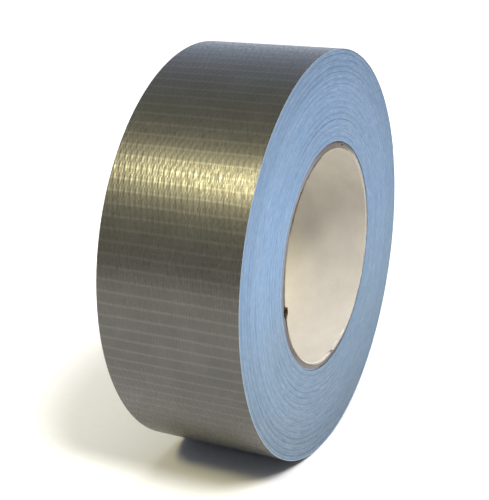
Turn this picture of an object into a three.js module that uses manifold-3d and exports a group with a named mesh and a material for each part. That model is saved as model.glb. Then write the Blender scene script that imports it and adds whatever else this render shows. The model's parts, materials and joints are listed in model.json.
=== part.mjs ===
// A roll of cloth duct tape: a spiral-wound paperboard core, the pack of tape wound on it,
// the outermost turn with its three bonded layers, and the free end, which peels off the roll.
//
// Millimetres, +Z up. The roll stands on its rim at z = 0 with its axis along Y, and its
// front side face towards -Y. The origin is under the middle of the roll.

import * as THREE from "three";
import { mergeVertices } from "three/addons/utils/BufferGeometryUtils.js";
import Module from "manifold-3d";

const wasm = await Module();
wasm.setup();

// ---- driving dimensions ----

const BORE_RADIUS = 38.1; // a 76.2 mm (3 inch) core
const CORE_LENGTH = 49.6;
const LINER_THICKNESS = 0.2;
const PLY_THICKNESS = 0.5;
const PLY_COUNT = 4;
const GLUE_LINE = 0.05; // between two plies of the core
const SEAM_GAP = 0.6; // butt joint of a ply, measured square to the seam
const SEAM_PITCH_ANGLE = 29; // degrees between a ply's seam and the circumference
const LINER_SEAM_AT = 150; // degrees from +X towards +Z, at the middle of the core's length
const SEAM_STAGGER = 73; // degrees from each ply's seam to the next one's
const SEAM_STEPS = 24; // straight steps of the helix along the core

const TAPE_WIDTH = 50;
const TURN_PITCH = 0.225; // wound thickness of the tape
const PACK_TURNS = 140; // turns under the outermost one
const ADHESIVE_THICKNESS = 0.075;
const SCRIM_THICKNESS = 0.055;
const FILM_THICKNESS = 0.065;
const LAYER_GAP = 0.01; // between two layers of the tape, and under the outermost turn
const CORE_GAP = 0.05; // between the core and the first turn

const FACETS = 96; // flats in one turn, the same flats on every layer
const TAPE_END_FACET = 29.5; // where the tape ends, in flats from the roll's lowest point
const TAB_SEGMENTS = 4; // rigid lengths that stand for the flexible free end
const FACETS_PER_SEGMENT = 3;
const CUT_GAP = 0.1; // trimmed off each end of a length of tape

const CUTTER_OVERSHOOT = 1; // how far a cutter reaches past the solid it cuts
const MERGE_DISTANCE = 1e-4; // corners closer than this are one corner

// ---- sizes that follow ----

const FLAT = (2 * Math.PI) / FACETS;
const BOTTOM = -Math.PI / 2;
const CORE_RADIUS = BORE_RADIUS + LINER_THICKNESS + PLY_COUNT * (GLUE_LINE + PLY_THICKNESS);
const PACK_INNER_RADIUS = CORE_RADIUS + CORE_GAP;
const PACK_OUTER_RADIUS = PACK_INNER_RADIUS + PACK_TURNS * TURN_PITCH;
const END_ANGLE = BOTTOM + TAPE_END_FACET * FLAT;
const PEEL_FACET = FACETS - TAB_SEGMENTS * FACETS_PER_SEGMENT;
const TAPE_LAYERS = layersFromInside();
const ROLL_HEIGHT = rimRadiusAt(TAPE_END_FACET);

// Each layer of the tape, with the distances of its two faces from the surface it is wound on.
function layersFromInside() {
  const scrimStart = ADHESIVE_THICKNESS + LAYER_GAP;
  const filmStart = scrimStart + SCRIM_THICKNESS + LAYER_GAP;
  return {
    adhesive: { inner: 0, outer: ADHESIVE_THICKNESS },
    scrim: { inner: scrimStart, outer: scrimStart + SCRIM_THICKNESS },
    film: { inner: filmStart, outer: filmStart + FILM_THICKNESS },
  };
}

// Radius to the outer face of the outermost turn, a number of flats after the turn's start.
function rimRadiusAt(flats) {
  return PACK_OUTER_RADIUS + (TURN_PITCH * flats) / FACETS + TAPE_LAYERS.film.outer;
}

// ---- materials ----

function paint(color, roughness, metalness = 0) {
  return new THREE.MeshStandardMaterial({ color, roughness, metalness });
}

const MATERIALS = {
  liner: paint(0xd8d0bc, 0.85),
  board: paint(0x8f8073, 0.95),
  pack: paint(0x8aa6c6, 0.6),
  adhesive: paint(0x9db7d6, 0.4),
  scrim: paint(0xc9d2da, 0.9),
  film: paint(0x83837c, 0.35, 0.6),
};

// ---- outlines, in the plane of the roll's side face ----

// A corner of the flat-sided circle whose flats touch the given radius.
function corner(radius, angle) {
  const reach = radius / Math.cos(FLAT / 2);
  return new THREE.Vector2(reach * Math.cos(angle), reach * Math.sin(angle));
}

function circleCorners(radius) {
  const corners = [];
  for (let i = 0; i < FACETS; i++) corners.push(corner(radius, BOTTOM + (i + 0.5) * FLAT));
  return corners;
}

// A point of the outermost turn, `flats` along it from its start, `offset` above the pack.
// The turn runs clockwise and climbs by one thickness of tape on its way round.
function turnPoint(flats, offset) {
  const at = (i) => {
    const radius = PACK_OUTER_RADIUS + (TURN_PITCH * i) / FACETS + offset;
    return corner(radius, END_ANGLE - i * FLAT);
  };
  const before = Math.floor(flats);
  return at(before).lerp(at(before + 1), flats - before);
}

function turnLine(from, to, offset) {
  const points = [turnPoint(from, offset)];
  for (let i = Math.floor(from) + 1; i < to; i++) points.push(turnPoint(i, offset));
  points.push(turnPoint(to, offset));
  return points;
}

// ---- solids, wound about the local Z axis and centred on it lengthways ----

function extruded(shape, width) {
  const options = { depth: width, bevelEnabled: false, steps: 1 };
  return new THREE.ExtrudeGeometry(shape, options).translate(0, 0, -width / 2);
}

function tubeGeometry(inner, outer, length) {
  const shape = new THREE.Shape(circleCorners(outer));
  shape.holes.push(new THREE.Path(circleCorners(inner)));
  return extruded(shape, length);
}

// A length of one layer of the outermost turn, from one flat to another.
function windingGeometry(layer, fromFacet, toFacet) {
  const trim = CUT_GAP / (PACK_OUTER_RADIUS * FLAT);
  const from = fromFacet + trim;
  const to = toFacet - trim;
  const outline = turnLine(from, to, layer.outer);
  outline.push(...turnLine(from, to, layer.inner).reverse());
  return extruded(new THREE.Shape(outline), TAPE_WIDTH);
}

// The pack: round inside, and outside a spiral that steps down where the outermost turn starts.
function packGeometry() {
  const shape = new THREE.Shape(turnLine(0, FACETS, -LAYER_GAP));
  shape.holes.push(new THREE.Path(circleCorners(PACK_INNER_RADIUS)));
  return extruded(shape, TAPE_WIDTH);
}

// A twisted bar that leaves a ply's butt seam when it is cut out of the ply.
function seamCutterGeometry(inner, outer, centreAngle) {
  const slope = THREE.MathUtils.degToRad(SEAM_PITCH_ANGLE);
  const turnPerLength = 1 / (Math.tan(slope) * inner);
  const reach = CORE_LENGTH + 2 * CUTTER_OVERSHOOT;
  const across = SEAM_GAP / Math.sin(slope);
  const depth = outer - inner + 2 * CUTTER_OVERSHOOT;
  const bar = new THREE.BoxGeometry(depth, across, reach, 1, 1, SEAM_STEPS);
  bar.translate((inner + outer) / 2, 0, 0);
  const corners = bar.getAttribute("position");
  const point = new THREE.Vector3();
  const axis = new THREE.Vector3(0, 0, 1);
  for (let i = 0; i < corners.count; i++) {
    point.fromBufferAttribute(corners, i);
    point.applyAxisAngle(axis, centreAngle + point.z * turnPerLength);
    corners.setXYZ(i, point.x, point.y, point.z);
  }
  return bar;
}

// ---- booleans ----

function toSolid(geometry) {
  const bare = geometry.index ? geometry.toNonIndexed() : geometry.clone();
  bare.deleteAttribute("normal");
  bare.deleteAttribute("uv");
  const merged = mergeVertices(bare, MERGE_DISTANCE);
  return new wasm.Manifold(
    new wasm.Mesh({
      numProp: 3,
      vertProperties: merged.getAttribute("position").array,
      triVerts: new Uint32Array(merged.index.array),
    }),
  );
}

function toGeometry(solid) {
  const mesh = solid.getMesh();
  const geometry = new THREE.BufferGeometry();
  geometry.setAttribute("position", new THREE.BufferAttribute(mesh.vertProperties, 3));
  geometry.setIndex(new THREE.BufferAttribute(mesh.triVerts, 1));
  geometry.computeVertexNormals();
  return geometry;
}

// ---- the roll ----

function named(name, geometry, material) {
  const mesh = new THREE.Mesh(geometry, material);
  mesh.name = name;
  return mesh;
}

// One paper ply of the core: a tube with its helical butt seam.
function makePly(name, inner, thickness, seamDegrees, material) {
  const outer = inner + thickness;
  const seamAngle = THREE.MathUtils.degToRad(seamDegrees);
  const tube = toSolid(tubeGeometry(inner, outer, CORE_LENGTH));
  const cutter = toSolid(seamCutterGeometry(inner, outer, seamAngle));
  return named(name, toGeometry(tube.subtract(cutter)), material);
}

function makeCore() {
  const core = new THREE.Group();
  core.add(
    makePly("core_liner", BORE_RADIUS, LINER_THICKNESS, LINER_SEAM_AT, MATERIALS.liner),
  );
  let inner = BORE_RADIUS + LINER_THICKNESS + GLUE_LINE;
  for (let ply = 1; ply <= PLY_COUNT; ply++) {
    const seam = LINER_SEAM_AT + ply * SEAM_STAGGER;
    core.add(makePly(`core_ply_${ply}`, inner, PLY_THICKNESS, seam, MATERIALS.board));
    inner += PLY_THICKNESS + GLUE_LINE;
  }
  return core;
}

// The outermost turn as far as the line where the free end starts to peel.
function makeOuterTurn() {
  const turn = new THREE.Group();
  for (const [kind, layer] of Object.entries(TAPE_LAYERS)) {
    const geometry = windingGeometry(layer, 0, PEEL_FACET);
    turn.add(named(`outer_turn_${kind}`, geometry, MATERIALS[kind]));
  }
  return turn;
}

// The free end, lying on the turn below it, in lengths that hinge on each other.
function makeFreeEnd() {
  const end = new THREE.Group();
  for (let segment = 1; segment <= TAB_SEGMENTS; segment++) {
    const from = PEEL_FACET + (segment - 1) * FACETS_PER_SEGMENT;
    for (const [kind, layer] of Object.entries(TAPE_LAYERS)) {
      const geometry = windingGeometry(layer, from, from + FACETS_PER_SEGMENT);
      end.add(named(`free_end_${segment}_${kind}`, geometry, MATERIALS[kind]));
    }
  }
  return end;
}

// Local Z becomes -Y, so the outlines above are seen as drawn from the front.
function makeRoll() {
  const roll = new THREE.Group();
  roll.rotation.x = Math.PI / 2;
  roll.position.z = ROLL_HEIGHT;
  roll.add(makeCore());
  roll.add(named("tape_pack", packGeometry(), MATERIALS.pack));
  roll.add(makeOuterTurn());
  roll.add(makeFreeEnd());
  return roll;
}

const ductTapeRoll = new THREE.Group();
ductTapeRoll.add(makeRoll());

export default ductTapeRoll;
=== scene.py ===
import json
import math

import bpy
import numpy as np
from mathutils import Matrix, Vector


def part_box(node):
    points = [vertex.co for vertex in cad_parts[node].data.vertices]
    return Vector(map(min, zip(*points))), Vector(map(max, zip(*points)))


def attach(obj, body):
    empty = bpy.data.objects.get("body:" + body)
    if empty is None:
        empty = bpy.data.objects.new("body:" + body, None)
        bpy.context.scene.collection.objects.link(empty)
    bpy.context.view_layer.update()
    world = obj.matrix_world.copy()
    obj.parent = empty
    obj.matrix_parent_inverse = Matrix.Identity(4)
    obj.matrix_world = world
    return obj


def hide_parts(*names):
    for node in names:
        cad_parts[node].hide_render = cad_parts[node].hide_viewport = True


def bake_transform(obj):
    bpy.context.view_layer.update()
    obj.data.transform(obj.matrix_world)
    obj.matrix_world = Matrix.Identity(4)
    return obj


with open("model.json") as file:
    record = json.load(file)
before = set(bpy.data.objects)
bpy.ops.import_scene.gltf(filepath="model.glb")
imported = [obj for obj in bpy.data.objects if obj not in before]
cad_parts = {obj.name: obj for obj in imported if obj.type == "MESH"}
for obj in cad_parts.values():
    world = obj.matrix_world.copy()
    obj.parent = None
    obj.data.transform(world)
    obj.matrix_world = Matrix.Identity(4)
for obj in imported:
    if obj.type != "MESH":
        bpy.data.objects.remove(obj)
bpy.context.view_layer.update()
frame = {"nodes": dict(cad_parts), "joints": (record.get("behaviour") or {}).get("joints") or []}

# A roll of cloth duct tape, standing on its rim with its axis along Y. Everything is in metres.
# Round the roll, a place is an angle from +X towards +Z. Along the tape, it is a length, or a
# number of turns, from where the outermost turn starts. The front is towards -Y, and the tape
# runs clockwise, seen from there.

MM = 0.001

# ---- sizes from the frame ----

FACETS = 96  # flats in one turn of the CAD's circles
FLAT_PER_CORNER = math.cos(math.pi / FACETS)
PACK_TURNS = 140  # turns under the outermost one
LAYER_GAP = 0.01 * MM
LINER_THICKNESS = 0.2 * MM
PLY_THICKNESS = 0.5 * MM
PLY_COUNT = 4

AXIS_Z = (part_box("core_ply_4")[0][2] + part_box("core_ply_4")[1][2]) / 2
HALF_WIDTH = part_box("tape_pack")[1][1]
CORE_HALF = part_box("core_liner")[1][1]


def corner_radii(node):
    """The smallest and largest distance of a node's corners from the roll's axis."""
    mesh = frame["nodes"][node].data
    points = np.empty(len(mesh.vertices) * 3)
    mesh.vertices.foreach_get("co", points)
    points = points.reshape(-1, 3)
    radii = np.hypot(points[:, 0], points[:, 2] - AXIS_Z)
    return radii.min(), radii.max()


def outside(node):
    """Radius to the flats round the outside of a node."""
    return corner_radii(node)[1] * FLAT_PER_CORNER


BORE_RADIUS = outside("core_liner") - LINER_THICKNESS
PACK_INNER = corner_radii("tape_pack")[0] * FLAT_PER_CORNER
TURN_PITCH = (outside("tape_pack") + LAYER_GAP - PACK_INNER) / (PACK_TURNS + 1)
PACK_OUTER = PACK_INNER + PACK_TURNS * TURN_PITCH
MEAN_RADIUS = PACK_OUTER + TURN_PITCH  # of the middle of the outermost turn
LENGTH_PER_TURN = 2 * math.pi * MEAN_RADIUS

HINGES = [Vector(joint["pos_m"]) for joint in frame["joints"]]
SEGMENTS = len(HINGES)


def angle_of(point):
    return math.atan2(point[2] - AXIS_Z, point[0])


PEEL_ANGLE = angle_of(HINGES[0])
SEGMENT_ANGLE = PEEL_ANGLE - angle_of(HINGES[1])
END_ANGLE = PEEL_ANGLE - SEGMENTS * SEGMENT_ANGLE
SEGMENT_TURNS = SEGMENT_ANGLE / (2 * math.pi)
PEEL_TURNS = 1 - SEGMENTS * SEGMENT_TURNS

# ---- the tape's own structure ----

# The two faces of each layer, from the surface that the turn is wound on.
ADHESIVE = (0.0, 0.075 * MM)
CLOTH = (0.085 * MM, 0.140 * MM)
FILM = (0.150 * MM, 0.215 * MM)

RIB_PITCH = 4.0 * MM  # weft yarns, across the tape
RIB_HALF_WIDTH = 0.26 * MM
RIB_HEIGHT = 0.008 * MM
RIB_WANDER = 0.22 * MM
WARP_PITCH = 1.02 * MM  # warp yarns, along the tape
WARP_HEIGHT = 0.018 * MM
WARP_WANDER = 0.07 * MM
RELIEF = RIB_HEIGHT + WARP_HEIGHT
LOW_CREST = 0.6  # height of every second warp yarn, as a share of the rest
INSIDE_RELIEF = 0.6  # relief of the adhesive, as a share of the film's
# Rows of a length of tape, from one rib to the next, closest where the rib is.
RIB_ROWS = np.array([0, 0.035, 0.085, 0.25, 0.5, 0.75, 0.915, 0.965])
WEAVE_COLUMNS = 4 * int(round(HALF_WIDTH / WARP_PITCH))  # two to each warp yarn
PLAIN_COLUMNS = 12
PLAIN_ROWS = 420

# Noise for the weave is read from 0 up, so each rib and each yarn has a stretch of its own.
FIRST_RIB = 40  # added to the ribs' numbers
RIB_STRETCH = 0.2  # metres to each rib
FIRST_YARN_AT = 200  # millimetres, added along the yarns
YARN_STRETCH = 900.0  # millimetres to each yarn

STRAY_FADE = 3 * MM  # ribs run straight at the ends of a length
SWAY_FADE = 2 * MM  # yarns run straight at the tape's edges
RAGGED_CUT = 0.5 * MM  # depth of the teeth along the tape's cut end
TOOTH_SPACING = 0.9 * MM
TOOTH_FADE = 2.5 * MM

UNDER_END = -0.16 * LENGTH_PER_TURN  # the turn below shows where the free end peels off it


# ---- noise and ramps ----


def noise(seed, x, spacing):
    """Smooth noise from -1 to 1 along x (0 or more): random values at knots, joined smoothly."""
    knots = np.asarray(x) / spacing
    before = np.floor(knots).astype(int)
    share = knots - before
    share = share * share * (3 - 2 * share)
    values = np.random.default_rng(seed).uniform(-1, 1, before.max() + 2)
    return values[before] * (1 - share) + values[before + 1] * share


def smooth(x, low, high):
    """Rises smoothly from 0 at low to 1 at high."""
    t = np.clip((x - low) / (high - low), 0, 1)
    return t * t * (3 - 2 * t)


def hump(x, start, full, fall, end):
    """Rises smoothly from 0 at start to 1 at full, and goes from fall back to 0 at end."""
    return smooth(x, start, full) * (1 - smooth(x, fall, end))


def bell(x, width):
    """1 at 0, falling smoothly on both sides."""
    return np.exp(-((x / width) ** 2))


# ---- meshes ----


def place(radius, angle, y):
    """Points at a distance from the roll's axis, an angle round it and a place along it."""
    radius, angle, y = np.broadcast_arrays(radius, angle, y)
    return np.stack([radius * np.cos(angle), y, AXIS_Z + radius * np.sin(angle)], axis=-1)


def on_tape(turns, offset, y):
    """Points on a turn of tape, `turns` after the outermost turn starts."""
    radius = PACK_OUTER + TURN_PITCH * turns + offset
    return place(radius, END_ANGLE - 2 * np.pi * turns, y)


def looks_inwards(points, mesh):
    """Whether a closed mesh's volume, added up from its triangles, comes out negative."""
    mesh.calc_loop_triangles()
    corners = np.empty(len(mesh.loop_triangles) * 3, dtype=np.int32)
    mesh.loop_triangles.foreach_get("vertices", corners)
    a, b, c = (points - points.mean(axis=0))[corners.reshape(-1, 3).T]
    return np.einsum("ij,ij->", a, np.cross(b, c)) < 0


def new_piece(name, points, faces, material):
    """A smooth object with one material, its faces turned outwards."""
    mesh = bpy.data.meshes.new(name)
    mesh.from_pydata(points.reshape(-1, 3).tolist(), [], faces)
    if looks_inwards(points.reshape(-1, 3), mesh):
        mesh.flip_normals()
    mesh.materials.append(material)
    mesh.polygons.foreach_set("use_smooth", [True] * len(mesh.polygons))
    mesh.update()
    piece = bpy.data.objects.new(name, mesh)
    bpy.context.scene.collection.objects.link(piece)
    return piece


def sweep_faces(rows, columns):
    """Faces of a tube whose rows are closed loops, with a flat cap on each end."""
    faces = []
    for i in range(rows - 1):
        a = i * columns
        b = a + columns
        for j in range(columns):
            k = (j + 1) % columns
            faces.append((a + j, a + k, b + k, b + j))
    last = (rows - 1) * columns
    faces.append(tuple(range(columns - 1, -1, -1)))
    faces.append(tuple(range(last, last + columns)))
    return faces


def sharpen(piece, degrees=40):
    """Marks the edges that turn by more than this as sharp."""
    piece.data.set_sharp_from_angle(angle=math.radians(degrees))


def add_values(piece, name, values):
    """Stores one number per vertex, for the material to read."""
    attribute = piece.data.attributes.new(name, "FLOAT", "POINT")
    attribute.data.foreach_set("value", np.asarray(values, dtype=np.float32).ravel())


def add_weave_map(piece, along, across):
    """A UV map in millimetres: along the tape, and across it."""
    mesh = piece.data
    uv = mesh.uv_layers.new(name="weave")
    corners = np.empty(len(mesh.loops), dtype=np.int32)
    mesh.loops.foreach_get("vertex_index", corners)
    table = np.stack([along.ravel(), across.ravel()], axis=1) / MM
    uv.data.foreach_set("uv", table[corners].astype(np.float32).ravel())


# ---- shader nodes ----


def rgb(red, green, blue):
    return (red, green, blue, 1.0)


def put(tree, kind, inputs=None, **settings):
    """Adds a node. An input's value is a number, a colour or another node's output."""
    node = tree.nodes.new(kind)
    for key, value in settings.items():
        setattr(node, key, value)
    for key, value in (inputs or {}).items():
        if isinstance(value, bpy.types.NodeSocket):
            tree.links.new(value, node.inputs[key])
        else:
            node.inputs[key].default_value = value
    return node


def maths(tree, operation, *values):
    inputs = dict(enumerate(values))
    return put(tree, "ShaderNodeMath", inputs, operation=operation).outputs[0]


def added(tree, total, *others):
    for other in others:
        total = maths(tree, "ADD", total, other)
    return total


def scaled(tree, value, factor):
    return maths(tree, "MULTIPLY", value, factor)


def mixed(tree, share, a, b, blend="MIX"):
    """A colour from a, at share 0, to b. Sockets 0, 6 and 7 take the share and the colours."""
    inputs = {0: share, 6: a, 7: b}
    node = put(tree, "ShaderNodeMix", inputs, data_type="RGBA", blend_type=blend)
    return node.outputs[2]


def ranged(tree, value, low, high, to_low=0.0, to_high=1.0):
    """Goes smoothly from to_low to to_high as the value goes from low to high."""
    inputs = {0: value, 1: low, 2: high, 3: to_low, 4: to_high}
    node = put(tree, "ShaderNodeMapRange", inputs, interpolation_type="SMOOTHSTEP")
    return node.outputs[0]


def fibres(tree, vector, scale, detail=3.0, roughness=0.6):
    inputs = {"Vector": vector, "Scale": scale, "Detail": detail, "Roughness": roughness}
    return put(tree, "ShaderNodeTexNoise", inputs).outputs["Fac"]


def stretched(tree, vector, scale):
    inputs = {"Vector": vector, "Scale": scale}
    return put(tree, "ShaderNodeMapping", inputs).outputs[0]


def bumped(tree, height, strength, distance, normal=None):
    inputs = {"Height": height, "Strength": strength, "Distance": distance}
    if normal is not None:
        inputs["Normal"] = normal
    return put(tree, "ShaderNodeBump", inputs).outputs[0]


def on_object(tree):
    return put(tree, "ShaderNodeTexCoord").outputs["Object"]


def on_weave(tree):
    """The tape's own map, in millimetres along it and across it."""
    return put(tree, "ShaderNodeUVMap", uv_map="weave").outputs[0]


def stored(tree, name):
    """A number that add_values stored."""
    return put(tree, "ShaderNodeAttribute", attribute_name=name).outputs["Fac"]


def separated(tree, vector):
    split = put(tree, "ShaderNodeSeparateXYZ", {0: vector})
    return split.outputs["X"], split.outputs["Y"], split.outputs["Z"]


def combined(tree, x, y, z=0.0):
    return put(tree, "ShaderNodeCombineXYZ", {0: x, 1: y, 2: z}).outputs[0]


def radius_at(tree, x, z):
    """The distance from the roll's axis."""
    height = maths(tree, "SUBTRACT", z, AXIS_Z)
    squares = added(tree, maths(tree, "MULTIPLY", x, x), maths(tree, "MULTIPLY", height, height))
    return maths(tree, "SQRT", squares)


def angle_at(tree, x, z):
    """The angle round the roll's axis."""
    return maths(tree, "ARCTAN2", maths(tree, "SUBTRACT", z, AXIS_Z), x)


def rib_at(tree, along):
    """1 on a weft rib, falling to 0 beside it."""
    from_rib = maths(tree, "PINGPONG", along, RIB_PITCH / MM / 2)
    return ranged(tree, from_rib, 0.15, 0.62, 1.0, 0.0)


def warp_at(tree, across):
    """A wave from -1 to 1, one to each warp yarn."""
    return maths(tree, "SINE", scaled(tree, across, 2 * math.pi / (WARP_PITCH / MM)))


# ---- materials ----

MARK_COLOURS = {"pale": rgb(0.68, 0.62, 0.53), "smear": rgb(0.24, 0.335, 0.46),
                "darker_patch": rgb(0.028, 0.020, 0.014)}


def new_material(name, **sockets):
    """A material, its node tree and its shader, with constants on the shader's own sockets."""
    material = bpy.data.materials.new(name)
    material.use_nodes = True
    shader = material.node_tree.nodes["Principled BSDF"]
    for key, value in sockets.items():
        shader.inputs[key].default_value = value
    return material, material.node_tree, shader


def dress(tree, shader, colour, roughness, normal):
    tree.links.new(colour, shader.inputs["Base Color"])
    tree.links.new(roughness, shader.inputs["Roughness"])
    tree.links.new(normal, shader.inputs["Normal"])


def film_material():
    """Grey polyethylene film, filled with metal flake, drawn down over the cloth."""
    material, tree, shader = new_material("tape_film", Metallic=0.88, IOR=1.5)
    along, across, _ = separated(tree, on_weave(tree))
    here = on_object(tree)
    cloudy = fibres(tree, here, 90, 4)
    flake = fibres(tree, here, 2600, 2)
    # The warp yarns lean from each rib to the next, and cross over and under the ribs.
    ribs = maths(tree, "DIVIDE", along, RIB_PITCH / MM)
    from_rib = maths(tree, "SUBTRACT", maths(tree, "FRACT", maths(tree, "ADD", ribs, 0.5)), 0.5)
    leaning = added(tree, across, scaled(tree, from_rib, -0.4))
    half_turns = scaled(tree, leaning, math.pi / (WARP_PITCH / MM))
    ridge = maths(tree, "COSINE", scaled(tree, half_turns, 2.0))
    over = maths(tree, "COSINE", scaled(tree, ribs, math.pi))
    crossing = maths(tree, "MULTIPLY", maths(tree, "COSINE", half_turns), over)
    drawn = stretched(tree, combined(tree, along, leaning), (0.38, 2.1, 1))
    strands = fibres(tree, drawn, 1.0, 3)
    grey = mixed(tree, ranged(tree, cloudy, 0.35, 0.7), rgb(0.090, 0.088, 0.086),
                 rgb(0.103, 0.100, 0.099))
    grey = mixed(tree, scaled(tree, rib_at(tree, along), 0.38), grey, rgb(0.160, 0.157, 0.153))
    between_yarns = ranged(tree, warp_at(tree, across), -1.0, 0.2, 1.0, 0.0)
    grey = mixed(tree, scaled(tree, between_yarns, 0.12), grey, rgb(0.060, 0.059, 0.057))
    relief = added(tree, scaled(tree, ridge, 0.5), scaled(tree, crossing, 1.3),
                   scaled(tree, strands, 1.3))
    normal = bumped(tree, relief, 1.0, 0.013 * MM)
    normal = bumped(tree, flake, 0.25, 0.004 * MM, normal)
    dress(tree, shader, grey, ranged(tree, strands, 0.3, 0.75, 0.24, 0.46), normal)
    return material


def pack_material():
    """The side of the wound tape: the edges of many turns, with pale blue adhesive between."""
    material, tree, shader = new_material("tape_side", IOR=1.48)
    here = on_object(tree)
    x, _, z = separated(tree, here)
    radius = radius_at(tree, x, z)
    # Radius as the third coordinate draws each blotch out along the tape.
    drawn = combined(tree, x, z, scaled(tree, radius, 14.0))
    streaks = fibres(tree, drawn, 190, 3, 0.65)
    long_streaks = fibres(tree, drawn, 62, 2, 0.5)
    dashes = fibres(tree, combined(tree, x, z, scaled(tree, radius, 6.0)), 430, 3, 0.6)
    grain = fibres(tree, here, 1500, 3, 0.7)
    cloudy = fibres(tree, here, 45, 4)
    blue = mixed(tree, ranged(tree, stored(tree, "tone"), -1.0, 1.0), rgb(0.098, 0.190, 0.325),
                 rgb(0.190, 0.292, 0.445))
    pale = scaled(tree, ranged(tree, streaks, 0.52, 0.78), 0.5)
    blue = mixed(tree, pale, blue, rgb(0.31, 0.41, 0.55))
    deep = scaled(tree, ranged(tree, long_streaks, 0.28, 0.5, 1.0, 0.0), 0.4)
    blue = mixed(tree, deep, blue, rgb(0.085, 0.165, 0.29))
    grainy = scaled(tree, ranged(tree, grain, 0.3, 0.75), 0.35)
    blue = mixed(tree, grainy, blue, rgb(0.20, 0.29, 0.42))
    dusty = scaled(tree, ranged(tree, cloudy, 0.4, 0.8), 0.3)
    blue = mixed(tree, dusty, blue, rgb(0.19, 0.26, 0.36))
    # The stored shade is painted light, sheen and shade, varied by the dashes.
    shade = maths(tree, "MULTIPLY", stored(tree, "shade"),
                  ranged(tree, dashes, 0.3, 0.7, 0.87, 1.15))
    grey = put(tree, "ShaderNodeCombineColor", {0: shade, 1: shade, 2: shade}).outputs[0]
    blue = mixed(tree, 1.0, blue, grey, "MULTIPLY")
    blue = mixed(tree, stored(tree, "duller"), blue, rgb(0.98, 0.94, 0.85), "MULTIPLY")
    relief = added(tree, dashes, scaled(tree, grain, 0.5), streaks)
    dress(tree, shader, blue, ranged(tree, streaks, 0.3, 0.75, 0.62, 0.34),
          bumped(tree, relief, 0.8, 0.06 * MM))
    return material


def adhesive_material():
    """Pale blue rubber adhesive, with the gauze showing through it."""
    material, tree, shader = new_material("tape_adhesive", IOR=1.5)
    here = on_weave(tree)
    along, across, _ = separated(tree, here)
    mottle = fibres(tree, here, 0.8, 4)
    warp = ranged(tree, warp_at(tree, across), 0.1, 0.8)
    yarn = maths(tree, "MAXIMUM", rib_at(tree, along), warp)
    blue = mixed(tree, ranged(tree, mottle, 0.3, 0.7), rgb(0.27, 0.38, 0.53),
                 rgb(0.36, 0.47, 0.61))
    blue = mixed(tree, scaled(tree, yarn, 0.6), blue, rgb(0.60, 0.66, 0.72))
    dress(tree, shader, blue, ranged(tree, mottle, 0.3, 0.7, 0.28, 0.5),
          bumped(tree, added(tree, yarn, mottle), 0.6, 0.03 * MM))
    return material


def cloth_material():
    """Undyed cotton and polyester gauze."""
    material, tree, shader = new_material("tape_cloth", IOR=1.45)
    fuzz = fibres(tree, on_object(tree), 4200, 3)
    pale = mixed(tree, ranged(tree, fuzz, 0.3, 0.7), rgb(0.55, 0.58, 0.60), rgb(0.74, 0.75, 0.74))
    dress(tree, shader, pale, ranged(tree, fuzz, 0.2, 0.8, 0.75, 0.95),
          bumped(tree, fuzz, 0.5, 0.03 * MM))
    return material


def paper_material(name, light, dark, spot, index=1.45):
    """Recycled paper: soft mottling, short fibres, a few specks, and marks on its cut ends."""
    material, tree, shader = new_material(name, IOR=index)
    x, y, z = separated(tree, on_object(tree))
    round_bore = scaled(tree, angle_at(tree, x, z), BORE_RADIUS)
    flat = combined(tree, round_bore, y, scaled(tree, radius_at(tree, x, z), 3.0))
    mottle = fibres(tree, flat, 70, 5, 0.62)
    strands = fibres(tree, stretched(tree, flat, (900, 2600, 900)), 1.0, 3, 0.7)
    specks = fibres(tree, flat, 1100, 2)
    colour = mixed(tree, ranged(tree, mottle, 0.3, 0.72), light, dark)
    colour = mixed(tree, scaled(tree, ranged(tree, strands, 0.35, 0.7), 0.16), colour, dark)
    colour = mixed(tree, scaled(tree, ranged(tree, specks, 0.66, 0.78), 0.5), colour, spot)
    for mark, mark_colour in MARK_COLOURS.items():
        colour = mixed(tree, stored(tree, mark), colour, mark_colour)
    relief = added(tree, strands, scaled(tree, mottle, 1.4))
    dress(tree, shader, colour, ranged(tree, strands, 0.2, 0.8, 0.78, 0.96),
          bumped(tree, relief, 0.45, 0.05 * MM))
    return material


def floor_material():
    """Plain, very pale and matt."""
    material, tree, shader = new_material("studio_floor", Roughness=0.9)
    grain = fibres(tree, on_object(tree), 300, 2)
    white = mixed(tree, grain, rgb(0.86, 0.86, 0.86), rgb(0.90, 0.90, 0.90))
    tree.links.new(white, shader.inputs["Base Color"])
    return material


def make_materials():
    return {
        "film": film_material(),
        "adhesive": adhesive_material(),
        "cloth": cloth_material(),
        "side": pack_material(),
        "liner": paper_material("core_liner_paper", rgb(0.555, 0.518, 0.447),
                                rgb(0.478, 0.442, 0.381), rgb(0.30, 0.25, 0.19)),
        "torn": paper_material("torn_paper", rgb(0.98, 0.975, 0.96), rgb(0.94, 0.93, 0.90),
                               rgb(0.85, 0.82, 0.76)),
        "board": paper_material("core_board", rgb(0.24, 0.207, 0.184), rgb(0.16, 0.132, 0.116),
                                rgb(0.07, 0.055, 0.045)),
        # The burr's near-black board is painted shade, for a flap that sits in shade.
        "burr": paper_material("board_painted_shade", rgb(0.026, 0.013, 0.006), rgb(0.016, 0.008, 0.004),
                               rgb(0.008, 0.005, 0.003), 1.15),
    }


# ---- lengths of tape ----


def rib_wander(seed, ribs, across):
    """How far each rib strays along the tape, at each place across it."""
    place_on_rib = across + HALF_WIDTH
    rows = np.arange(ribs)[:, None] * 4 * HALF_WIDTH + place_on_rib[None, :]
    return RIB_WANDER * (0.7 * noise(seed, rows, 14 * MM) + 0.3 * noise(seed + 1, rows, 5 * MM))


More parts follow.
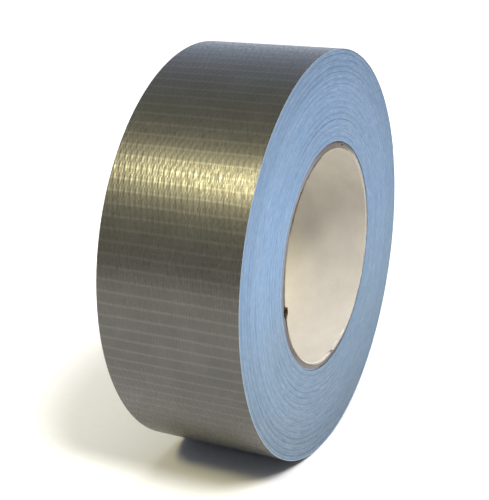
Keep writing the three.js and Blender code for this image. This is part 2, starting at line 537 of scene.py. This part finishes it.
def tape_rows(start, end):
    """Places along the tape from start to end, set by the ribs that lie between."""
    first = math.floor(start / RIB_PITCH)
    last = math.ceil(end / RIB_PITCH)
    rows = (np.arange(first, last)[:, None] + RIB_ROWS[None, :]).ravel() * RIB_PITCH
    clear = 0.15 * MM
    rows = rows[(rows > start + clear) & (rows < end - clear)]
    return np.concatenate([[start], rows, [end]])


def weave_relief(along, across):
    """Height of the ribs and yarns, how far the ribs stray along the tape, and how far the
    yarns, whose crests lie on every second column, sway across it."""
    place_in_ribs = along / RIB_PITCH + FIRST_RIB
    rib = np.floor(place_in_ribs).astype(int)
    share = (place_in_ribs - rib)[:, None]
    wander = rib_wander(11, rib.max() + 3, across)
    stray = wander[rib] * (1 - share) + wander[rib + 1] * share
    from_rib = np.minimum(share, 1 - share) * RIB_PITCH
    nearest = np.rint(place_in_ribs).astype(int)
    strength = 0.82 + 0.18 * noise(21, np.arange(nearest.max() + 1), 0.99)[nearest][:, None]
    on_rib = nearest[:, None] * RIB_STRETCH + across + HALF_WIDTH
    patchy = 1 - 0.2 * np.abs(noise(22, on_rib, 4 * MM))
    ribs = RIB_HEIGHT * strength * patchy * bell(from_rib, RIB_HALF_WIDTH)
    column = np.arange(len(across))
    crest = (column % 2) * np.where(column % 4 == 1, 1.0, LOW_CREST)
    on_yarn = (along[:, None] / MM + FIRST_YARN_AT) + YARN_STRETCH * (column // 2)[None, :]
    uneven = 0.75 + 0.25 * noise(31, on_yarn, 3.1)
    yarns = WARP_HEIGHT * crest[None, :] * uneven
    sway = WARP_WANDER * noise(32, on_yarn, 9.0)
    return ribs + yarns, stray, sway


def tape_length(name, layer, start, end, material, relief=None, ragged=0.0, rows=None):
    """One layer of a length of tape, as a closed slab that follows the roll. The weave shows in
    relief on its "outside", on its "inside" or, without relief, on neither."""
    along = tape_rows(start, end) if rows is None else rows
    count = WEAVE_COLUMNS if relief else PLAIN_COLUMNS
    across = np.linspace(-HALF_WIDTH, HALF_WIDTH, count + 1)
    height, stray, sway = weave_relief(along, across)
    from_end = np.minimum(along - start, end - along)[:, None]
    from_side = HALF_WIDTH - np.abs(across)[None, :]
    moved = along[:, None] + stray * smooth(from_end, 0, STRAY_FADE)
    y = across[None, :] + sway * smooth(from_side, 0, SWAY_FADE)
    if ragged:
        teeth = ragged * (noise(51, across + HALF_WIDTH, TOOTH_SPACING) - 1) / 2
        moved = moved + teeth[None, :] * smooth(along, end - TOOTH_FADE, end)[:, None]
    top = layer[1] - RELIEF + height if relief == "outside" else layer[1]
    bottom = layer[0] + (RELIEF - height) * INSIDE_RELIEF if relief == "inside" else layer[0]
    # A plain inside needs only its two edges.
    back = np.arange(count, -1, -1) if relief == "inside" else np.array([count, 0])
    turns = moved / LENGTH_PER_TURN
    rings = np.concatenate([on_tape(turns, top, y), on_tape(turns, bottom, y)[:, back]], axis=1)
    piece = new_piece(name, rings, sweep_faces(len(along), rings.shape[1]), material)
    all_across = np.concatenate([across, across[back]])
    add_weave_map(piece, *np.meshgrid(along, all_across, indexing="ij"))
    sharpen(piece)
    return piece


def make_outer_turn(materials):
    """The outermost turn as far as the free end. Its face starts on the turn below the end."""
    end = PEEL_TURNS * LENGTH_PER_TURN
    rows = np.linspace(0, end, PLAIN_ROWS)
    face = tape_length("outer_turn_face", FILM, UNDER_END, end, materials["film"],
                       relief="outside")
    cloth = tape_length("outer_turn_gauze", CLOTH, 0, end, materials["cloth"], rows=rows)
    glue = tape_length("outer_turn_glue", ADHESIVE, 0, end, materials["adhesive"], rows=rows)
    for piece, node in ((face, "film"), (cloth, "scrim"), (glue, "adhesive")):
        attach(piece, "roll")
        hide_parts("outer_turn_" + node)


def make_free_end(materials):
    """The free end, in lengths, one to each hinge, that meet midway between hinges."""
    middles = [PEEL_TURNS + (k + 0.5) * SEGMENT_TURNS for k in range(SEGMENTS)]
    starts = [PEEL_TURNS] + middles[:-1]
    ends = middles[:-1] + [1.0]
    for k in range(SEGMENTS):
        start = starts[k] * LENGTH_PER_TURN
        end = ends[k] * LENGTH_PER_TURN
        bend_start = Vector(on_tape(starts[k], 0.0, 0.0).tolist())
        bend_end = Vector(on_tape(middles[k], 0.0, 0.0).tolist())
        number = k + 1
        ragged = RAGGED_CUT if number == SEGMENTS else 0.0
        face = tape_length(f"end_{number}_face", FILM, start, end, materials["film"],
                           relief="outside", ragged=ragged)
        cloth = tape_length(f"end_{number}_gauze", CLOTH, start, end, materials["cloth"],
                            ragged=ragged)
        glue = tape_length(f"end_{number}_glue", ADHESIVE, start, end, materials["adhesive"],
                           relief="inside", ragged=ragged)
        for piece, node in ((face, "film"), (cloth, "scrim"), (glue, "adhesive")):
            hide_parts(f"free_end_{number}_{node}")
            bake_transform(piece)


# ---- the wound pack ----

PACK_STEPS = 168  # straight steps in one turn
GROOVE_DEPTH = 0.03 * MM  # between two turns
FACE_ROOM = 0.075 * MM  # by which the last turn is lowered under the outer turn's face
FACE_ROOM_FROM = PACK_TURNS + 0.80
FACE_ROOM_TO = PACK_TURNS + 0.84
FRONT_SEED = 60
REAR_SEED = 80

RING_PITCH = 2.0 * MM  # of the rings that show on the side faces
RING_COUNT = 40  # more than fit
FIRST_TURNS = 1.3 * MM  # the turns beside the core that sit deeper than the rest
NICK_RADIUS = 46.5 * MM
NICK_ANGLE = math.radians(130)
NICK_DEGREES = 1.6
NICK_WIDTH = 0.2 * MM
# Directions from the axis, in degrees.
PLAIN_RINGS = (95, 235)  # where the rings show best
# The bright and faint fans are painted sheen; the dark fan, below, is painted shade.
PAINTED_SHEEN_FAN = 162
FAINT_SHEEN_FAN = -18
PAINTED_SHADE_FAN = 275
SIDE_SHADE = 0.96  # of the side faces, before the fans and rings


def near_whole(x, width):
    """1 where x is a whole number, falling to 0 beside it."""
    return bell(np.abs(x - np.rint(x)), width)


def fan(angle, degrees, power):
    """1 in one direction from the axis, falling to 0 a quarter turn away."""
    return np.clip(np.cos(angle - math.radians(degrees)), 0, 1) ** power


def wide_fan(angle, degrees):
    """1 in one direction from the axis, falling to 0 half a turn away."""
    return np.cos((angle - math.radians(degrees)) / 2) ** 6


def side_line(sign, seed, ring_strength, line, shift, dip):
    """One line round a side face, turn after turn: its points, tone, painted sheen and shade, and
    dullness.
    """
    at = line + shift
    angle = END_ANGLE - 2 * np.pi * line
    turn_offset = noise(seed, at, 0.37)
    # Rings where the tape was wound a little tighter. They sit deeper, and painted shade darkens
    # them.
    ring_place = at * TURN_PITCH / RING_PITCH + 0.12 * noise(seed + 1, at, 3.7)
    ring = near_whole(ring_place, 0.13) * ring_strength[np.rint(ring_place).astype(int)]
    plain = wide_fan(angle, PLAIN_RINGS[0]) + wide_fan(angle, PLAIN_RINGS[1])
    ring = ring * np.clip(0.25 + 0.75 * plain, 0, 1)
    broad = noise(seed + 2, at, 17.0)
    radius = PACK_INNER + TURN_PITCH * at
    first_turns = 0.05 * bell(radius - PACK_INNER, FIRST_TURNS)
    # A small nick in the front face: pressed in, and darkened with painted shade.
    nick = bell(np.degrees(angle - NICK_ANGLE + np.pi) % 360 - 180, NICK_DEGREES)
    nick = nick * bell(radius - NICK_RADIUS, NICK_WIDTH) * (sign < 0)
    depth = 0.09 + 0.035 * turn_offset + 0.10 * ring + 0.02 * broad + first_turns + 0.5 * nick
    # The last turn keeps a gap below the outermost one.
    last_turn = line >= PACK_TURNS
    lowered = smooth(line, FACE_ROOM_FROM, FACE_ROOM_TO) * last_turn
    radius = radius - (LAYER_GAP + FACE_ROOM * lowered) * last_turn
    points = place(radius, angle, sign * (HALF_WIDTH - (depth * MM + dip)))
    # The tone varies at random from turn to turn, with painted shade in the rings.
    tone = 0.22 * turn_offset - 0.85 * ring + 0.12 * broad + 0.15
    # Painted sheen fans out on two sides of the axis, and painted shade darkens the face outwards
    # and below.
    low = fan(angle, PAINTED_SHADE_FAN, 2)
    painted_outer_shade = 0.12 * low * smooth(radius, 46 * MM, 58 * MM)
    painted_fans = 0.24 * fan(angle, PAINTED_SHEEN_FAN, 4) + 0.06 * fan(angle, FAINT_SHEEN_FAN, 4)
    painted_fans = painted_fans - 0.1 * low - painted_outer_shade
    # A painted highlight beside each ring, and painted shade in it.
    rings = 0.07 * near_whole(ring_place - 0.3, 0.1) * plain - 0.2 * ring
    # Painted shade darkens the face towards its outer edge.
    outwards = smooth(radius, 58 * MM, 69 * MM)
    shade = SIDE_SHADE + painted_fans + rings - 0.13 * outwards - 0.8 * nick
    return points, tone, shade, smooth(-np.sin(angle), -0.4, 0.6)


def pack_side(sign):
    """One side face: along each turn, its edge and then the groove outside it."""
    edge = np.arange((PACK_TURNS + 1) * PACK_STEPS + 1) / PACK_STEPS
    groove = np.arange(PACK_TURNS * PACK_STEPS + 1) / PACK_STEPS
    seed = FRONT_SEED if sign < 0 else REAR_SEED
    ring_strength = np.random.default_rng(seed + 5).uniform(0.35, 1.0, RING_COUNT)
    lines = [side_line(sign, seed, ring_strength, line, shift, dip)
             for line, shift, dip in ((edge, 0.0, 0.0), (groove, 0.5, GROOVE_DEPTH))]
    return [np.concatenate(values) for values in zip(*lines)]


def pack_faces():
    """The two spiral side faces, and the walls round the bore and round the outside."""
    edge_count = (PACK_TURNS + 1) * PACK_STEPS + 1
    side_count = edge_count + PACK_TURNS * PACK_STEPS + 1
    faces = []
    for m in range(PACK_TURNS * PACK_STEPS):
        g = edge_count + m
        faces.append((m, m + 1, g + 1, g))
        faces.append((g, g + 1, m + PACK_STEPS + 1, m + PACK_STEPS))
    back = [tuple(side_count + v for v in reversed(face)) for face in faces]
    inner = list(range(PACK_STEPS + 1)) + [edge_count]
    first = PACK_TURNS * PACK_STEPS
    outer = list(range(first, first + PACK_STEPS + 1)) + [edge_count + first]
    walls = []
    for loop, flip in ((inner, False), (outer, True)):
        for a, b in zip(loop, loop[1:] + loop[:1]):
            wall = (b, a, side_count + a, side_count + b)
            walls.append(tuple(reversed(wall)) if flip else wall)
    return faces + back + walls


def make_pack(material):
    front = pack_side(-1)
    rear = pack_side(1)
    points, tone, shade, duller = [np.concatenate(pair) for pair in zip(front, rear)]
    piece = new_piece("wound_tape", points, pack_faces(), material)
    add_values(piece, "tone", tone)
    add_values(piece, "shade", shade)
    add_values(piece, "duller", duller)
    sharpen(piece, 60)
    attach(piece, "roll")
    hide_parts("tape_pack")


# ---- the core ----

PLY_STEPS = 480  # steps round each ply
PLY_COLUMNS = 24  # the same in every ply, so that their straight edges dip alike
SEAM_SLOPE = math.radians(29)
SEAM_GAP = 0.6 * MM
LINER_SEAM_AT = 150  # degrees
SEAM_STAGGER = 73  # degrees from each ply's seam to the next one's
COLUMN_STRETCH = 400 * MM  # of noise to each column, so that no two columns are alike
LINER_FRAY = 0.06 * MM
PLY_FRAY = 0.16 * MM
LINER_REACH = 0.18 * MM  # how far the cut ends stand out past the liner's in the frame
# Marks on the cut ends of the liner and then of each ply: darker patches, pale torn paper and
# smeared adhesive. Each is a stretch from one angle to another in degrees, with the degrees that
# it fades over and how strong it is.
MARKS = [
    {"darker_patch": [(-84, -80.5, 1.5, 1.0), (99, 128, 8, 0.65), (128, 152, 6, 1.0),
               (152, 204, 8, 0.5)]},
    {"darker_patch": [(-84, -80.5, 1.5, 0.8), (98, 128, 8, 0.65), (128, 152, 6, 1.0),
               (152, 206, 8, 0.3), (206, 240, 8, 0.25)],
     "pale": [(-104, -30, 8, 1.0), (-30, 66, 8, 0.4)]},
    {"pale": [(-66, -25, 8, 1.0), (-25, 62, 8, 0.65), (110, 200, 12, 0.3)]},
    {"pale": [(-54, -20, 8, 0.9), (-20, 54, 8, 0.6)], "smear": [(110, 200, 12, 0.6)]},
    {"darker_patch": [(-100, -50, 8, 0.9), (-50, -20, 8, 0.2), (74, 118, 8, 0.45)],
     "pale": [(-20, 56, 8, 0.4)], "smear": [(125, 262, 12, 1.0)]},
]


def ply_outline():
    """The outline of a cut through a ply, as shares of its half length and its thickness."""
    run = np.concatenate([[-1, -0.99], np.linspace(-0.95, 0.95, PLY_COLUMNS), [0.99, 1]])
    lengthways = np.concatenate([run, [1, 1], run[::-1], [-1, -1]])
    outer_face = np.ones(len(run))
    inner_face = np.zeros(len(run))
    outwards = np.concatenate([outer_face, [0.68, 0.34], inner_face, [0.34, 0.68]])
    return lengthways[None, :], outwards[None, :]


def add_marks(piece, marks, angle, uneven, near_end):
    """Stores how strong each kind of mark is at each vertex near the cut ends."""
    for mark in ("darker_patch", "pale", "smear"):
        strength = np.zeros_like(uneven)
        for low, high, fade, most in marks.get(mark, []):
            away = np.abs((np.degrees(angle) - (low + high) / 2 + 180) % 360 - 180)
            strength += most * (1 - smooth(away, (high - low) / 2 - fade, (high - low) / 2 + fade))
        add_values(piece, mark, near_end * np.clip(strength * uneven, 0, 1))


def make_ply(number, name, node, thickness, fray, reach, material):
    """One paper ply, wound into a tube with a butt seam, with rough cut ends. The liner is
    number 0, and reach is how far the ends stand out past the liner's in the frame."""
    seed = 100 + 10 * number
    outer = outside(node)
    inner = outer - thickness
    lengthways, outwards = ply_outline()
    y = lengthways * (CORE_HALF + reach)
    turn_per_length = 1 / (math.tan(SEAM_SLOPE) * inner)
    gap = SEAM_GAP / math.sin(SEAM_SLOPE) / inner
    seam = math.radians(LINER_SEAM_AT + number * SEAM_STAGGER) - y * turn_per_length
    t = np.linspace(0, 1, PLY_STEPS)[:, None]
    angle = seam + gap / 2 + t * (2 * np.pi - gap)
    along = t * 2 * np.pi * inner
    spread = along + np.arange(y.size)[None, :] * COLUMN_STRETCH
    rough = 0.55 * noise(seed, spread, 0.7 * MM) + 0.45 * noise(seed + 1, spread, 2.6 * MM)
    wave = noise(seed + 2, along, 21 * MM)
    pull_in = fray * (1.1 + rough) / 2 + fray * 0.4 * (1 + wave) / 2
    at_end = np.abs(lengthways) > 0.999
    near_end = np.abs(lengthways) > 0.985
    lumps = 0.012 * MM * noise(seed + 3, spread, 5 * MM)
    radius = inner + (outer - inner) * outwards + lumps
    rings = place(radius, angle, y - np.sign(y) * at_end * pull_in)
    piece = new_piece(name, rings, sweep_faces(PLY_STEPS, y.size), material)
    ragged = 0.5 + 0.5 * noise(seed + 4, spread, 1.3 * MM) + 0.3 * noise(seed + 5, spread, 5 * MM)
    add_marks(piece, MARKS[number], angle, 0.35 + 0.9 * ragged, near_end)
    sharpen(piece, 50)
    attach(piece, "roll")
    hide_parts(node)


def make_core(materials):
    """The liner and the board plies. Each ply's ends lie a little further in than the last's."""
    make_ply(0, "liner_paper", "core_liner", LINER_THICKNESS, LINER_FRAY, LINER_REACH,
             materials["liner"])
    for number in range(1, PLY_COUNT + 1):
        reach = (0.14 - 0.06 * number) * MM
        make_ply(number, f"board_ply_{number}", f"core_ply_{number}", PLY_THICKNESS, PLY_FRAY,
                 reach, materials["board"])


def make_torn_lip(material):
    """The liner's torn edge, which stands out of the front of the bore along its lower part."""
    steps = 260
    thickness = 0.13 * MM
    clear_of_liner = 0.02 * MM
    degrees = np.linspace(-130, -62, steps)[:, None]
    angle = np.radians(degrees)
    along = (angle - angle[0]) * BORE_RADIUS
    taper = smooth(along, 0, 9 * MM) * smooth(along[-1] - along, 0, 2 * MM)
    ragged = 0.7 + 0.4 * noise(141, along, 0.8 * MM) + 0.25 * noise(142, along, 3.5 * MM)
    first_flap = hump(degrees, -102, -93, -88, -84.5)
    second_flap = hump(degrees, -80.5, -79, -70, -63)
    # The outline goes from the liner's face out to the torn edge, and back a thickness higher.
    share = np.array([0, 0.35, 0.7, 1.0, 1.0, 0.7, 0.35, 0])[None, :]
    through = np.array([0, 0, 0, 0.2, 0.8, 1, 1, 1])[None, :]
    reach = (0.10 + 0.60 * first_flap + 1.5 * second_flap) * MM * taper
    reach = reach * np.clip(ragged, 0.1, 1.3)
    curl = reach * share ** 1.6
    torn_back = (0.4 + 0.4 * first_flap + 0.9 * second_flap) * MM * np.clip(ragged, 0.5, 1.2)
    start_y = torn_back - (CORE_HALF + 0.14 * MM)
    forward = torn_back * share * (0.35 + 0.65 * taper)
    radius = BORE_RADIUS - clear_of_liner - curl - through * thickness
    rings = place(radius, angle, start_y - forward)
    piece = new_piece("liner_torn_edge", rings, sweep_faces(steps, share.size), material)
    smudge = hump(degrees, -84.5, -83, -82, -80.5)
    add_values(piece, "darker_patch", smudge * np.ones_like(share))
    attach(piece, "roll")


def make_burr(material):
    """A torn flap of board that sticks into the bore, with a thin tail below it. Its near-black
    colour is painted shade.
    """
    steps = 60
    sides = 10
    degrees = np.linspace(-171.2, -156, steps)[:, None]
    flap = hump(degrees, -171.2, -168.0, -167.2, -162.0)
    tail = hump(degrees, -168, -164.5, -161, -156)
    reach = (2.9 * flap + 0.7 * tail + 0.05) * MM
    turn = np.arange(sides)[None, :] / sides * 2 * np.pi
    lumps = 1 + 0.25 * noise(151, turn * 3 + degrees + 180, 0.6)
    over_plies = (0.45 + 0.75 * flap) * MM
    radius = BORE_RADIUS + over_plies - reach / 2 - reach / 2 * np.cos(turn) * lumps
    y = -(CORE_HALF + 0.04 * MM) + (0.04 + 0.08 * flap) * MM * np.sin(turn) * lumps
    rings = place(radius, np.radians(degrees), y)
    piece = new_piece("core_burr", rings, sweep_faces(steps, sides), material)
    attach(piece, "roll")


# ---- the studio ----

ROLL_CENTRE = Vector((0, 0, AXIS_Z))
WINDOW_AZIMUTH = 151
WINDOW_ELEVATION = 44.9
FLOOR_REACH = 0.7
FLOOR_DROP = 0.05 * MM  # keeps the floor clear of the roll


def direction(azimuth, elevation):
    """A unit vector, from degrees round from +X towards +Y and degrees up."""
    a = math.radians(azimuth)
    e = math.radians(elevation)
    return Vector((math.cos(a) * math.cos(e), math.sin(a) * math.cos(e), math.sin(e)))


def make_floor():
    r = FLOOR_REACH
    z = -FLOOR_DROP
    corners = np.array([(-r, -r, z), (r, -r, z), (r, r, z), (-r, r, z)])
    floor = new_piece("floor", corners, [(0, 1, 2, 3)], floor_material())


def add_lamp(name, light, azimuth, elevation):
    """Adds a light that shines from this direction."""
    lamp = bpy.data.objects.new(name, light)
    lamp.rotation_euler = direction(azimuth, elevation).to_track_quat("Z", "Y").to_euler()
    bpy.context.scene.collection.objects.link(lamp)
    return lamp


def add_window(azimuth, elevation, distance, size, radiance, colour):
    """A rectangular light that faces the roll. Radiance 1 shows as plain white."""
    light = bpy.data.lights.new("window", "AREA")
    light.shape = "RECTANGLE"
    light.size, light.size_y = size
    light.energy = radiance * math.pi * size[0] * size[1]
    light.color = colour
    lamp = add_lamp("window", light, azimuth, elevation)
    lamp.location = ROLL_CENTRE + direction(azimuth, elevation) * distance


def add_softbox(name, azimuth, elevation, spread, strength, colour):
    """A far soft light, which reflections leave out. Strength 1 shows white paper as white."""
    light = bpy.data.lights.new(name, "SUN")
    light.angle = math.radians(spread)
    light.energy = strength * math.pi
    light.color = colour
    lamp = add_lamp(name, light, azimuth, elevation)
    lamp.visible_glossy = False


def mirrored_room(tree, toward, x, y):
    """What reflections show: a grey room that pales towards a bright backdrop on one side, and a
    glow round the window."""
    ahead = added(tree, scaled(tree, x, 0.9), scaled(tree, y, 0.42))
    seen = mixed(tree, ranged(tree, ahead, 0.2, 1.05), rgb(0.39, 0.41, 0.305),
                 rgb(0.755, 0.88, 1.14))
    seen = mixed(tree, ranged(tree, ahead, 0.93, 1.0), seen, rgb(1.1, 1.22, 1.40))
    inputs = {0: toward, 1: direction(WINDOW_AZIMUTH, WINDOW_ELEVATION)}
    to_window = put(tree, "ShaderNodeVectorMath", inputs, operation="DOT_PRODUCT")
    glow = ranged(tree, to_window.outputs["Value"], 0.62, 1.0)
    return mixed(tree, glow, seen, rgb(0.78, 0.76, 0.58))


def background(tree, colour, strength=1.0):
    inputs = {"Color": colour, "Strength": strength}
    return put(tree, "ShaderNodeBackground", inputs).outputs[0]


def make_world():
    """The surroundings. The camera sees plain white, reflections show a room of their own, and
    everything else is lit by a dim blue room that is grey overhead."""
    world = bpy.data.worlds.new("studio")
    world.use_nodes = True
    tree = world.node_tree
    tree.nodes.clear()
    toward = put(tree, "ShaderNodeTexCoord").outputs["Generated"]
    x, y, z = separated(tree, toward)
    mirrored = background(tree, mirrored_room(tree, toward, x, y))
    room = mixed(tree, ranged(tree, z, 0.0, 0.8), rgb(0.08, 0.11, 0.21), rgb(0.34, 0.34, 0.37))
    plain = background(tree, room)
    white = background(tree, rgb(1, 1, 1), 1.2)
    rays = put(tree, "ShaderNodeLightPath").outputs
    lit = put(tree, "ShaderNodeMixShader", {0: rays["Is Glossy Ray"], 1: plain, 2: mirrored})
    both = put(tree, "ShaderNodeMixShader", {0: rays["Is Camera Ray"], 1: lit.outputs[0],
                                             2: white})
    put(tree, "ShaderNodeOutputWorld", {"Surface": both.outputs[0]})
    bpy.context.scene.world = world


def make_lights():
    add_window(WINDOW_AZIMUTH, WINDOW_ELEVATION, 0.8, (0.18, 0.12), 42.0, (1.0, 0.905, 0.475))
    add_softbox("overhead", -55, 76, 60, 0.38, (1.0, 1.0, 1.0))
    add_softbox("key", -120, 54, 18, 1.05, (1.0, 0.99, 0.97))


def make_camera():
    """The photograph's view: 17 degrees down, from the front and left of the roll."""
    azimuth = math.radians(-64.2525)
    elevation = math.radians(17.2845)
    distance = 0.4062
    aside = 0.007195
    below = 0.000854
    camera = bpy.data.cameras.new("camera")
    camera.lens = 80.81
    camera.sensor_width = 36.0
    camera.sensor_fit = "AUTO"
    back = Vector((math.sin(azimuth) * math.cos(elevation),
                   -math.cos(azimuth) * math.cos(elevation), math.sin(elevation)))
    right = Vector((math.cos(azimuth), math.sin(azimuth), 0))
    up = back.cross(right)
    eye = bpy.data.objects.new("camera", camera)
    eye.location = ROLL_CENTRE + back * distance - right * aside - up * below
    eye.rotation_euler = back.to_track_quat("Z", "Y").to_euler()
    bpy.context.scene.collection.objects.link(eye)
    bpy.context.scene.camera = eye


def main():
    materials = make_materials()
    make_camera()
    make_pack(materials["side"])
    make_outer_turn(materials)
    make_free_end(materials)
    make_core(materials)
    make_torn_lip(materials["torn"])
    make_burr(materials["burr"])
    make_floor()
    make_world()
    make_lights()
    bpy.context.scene.view_settings.view_transform = "Standard"


main()
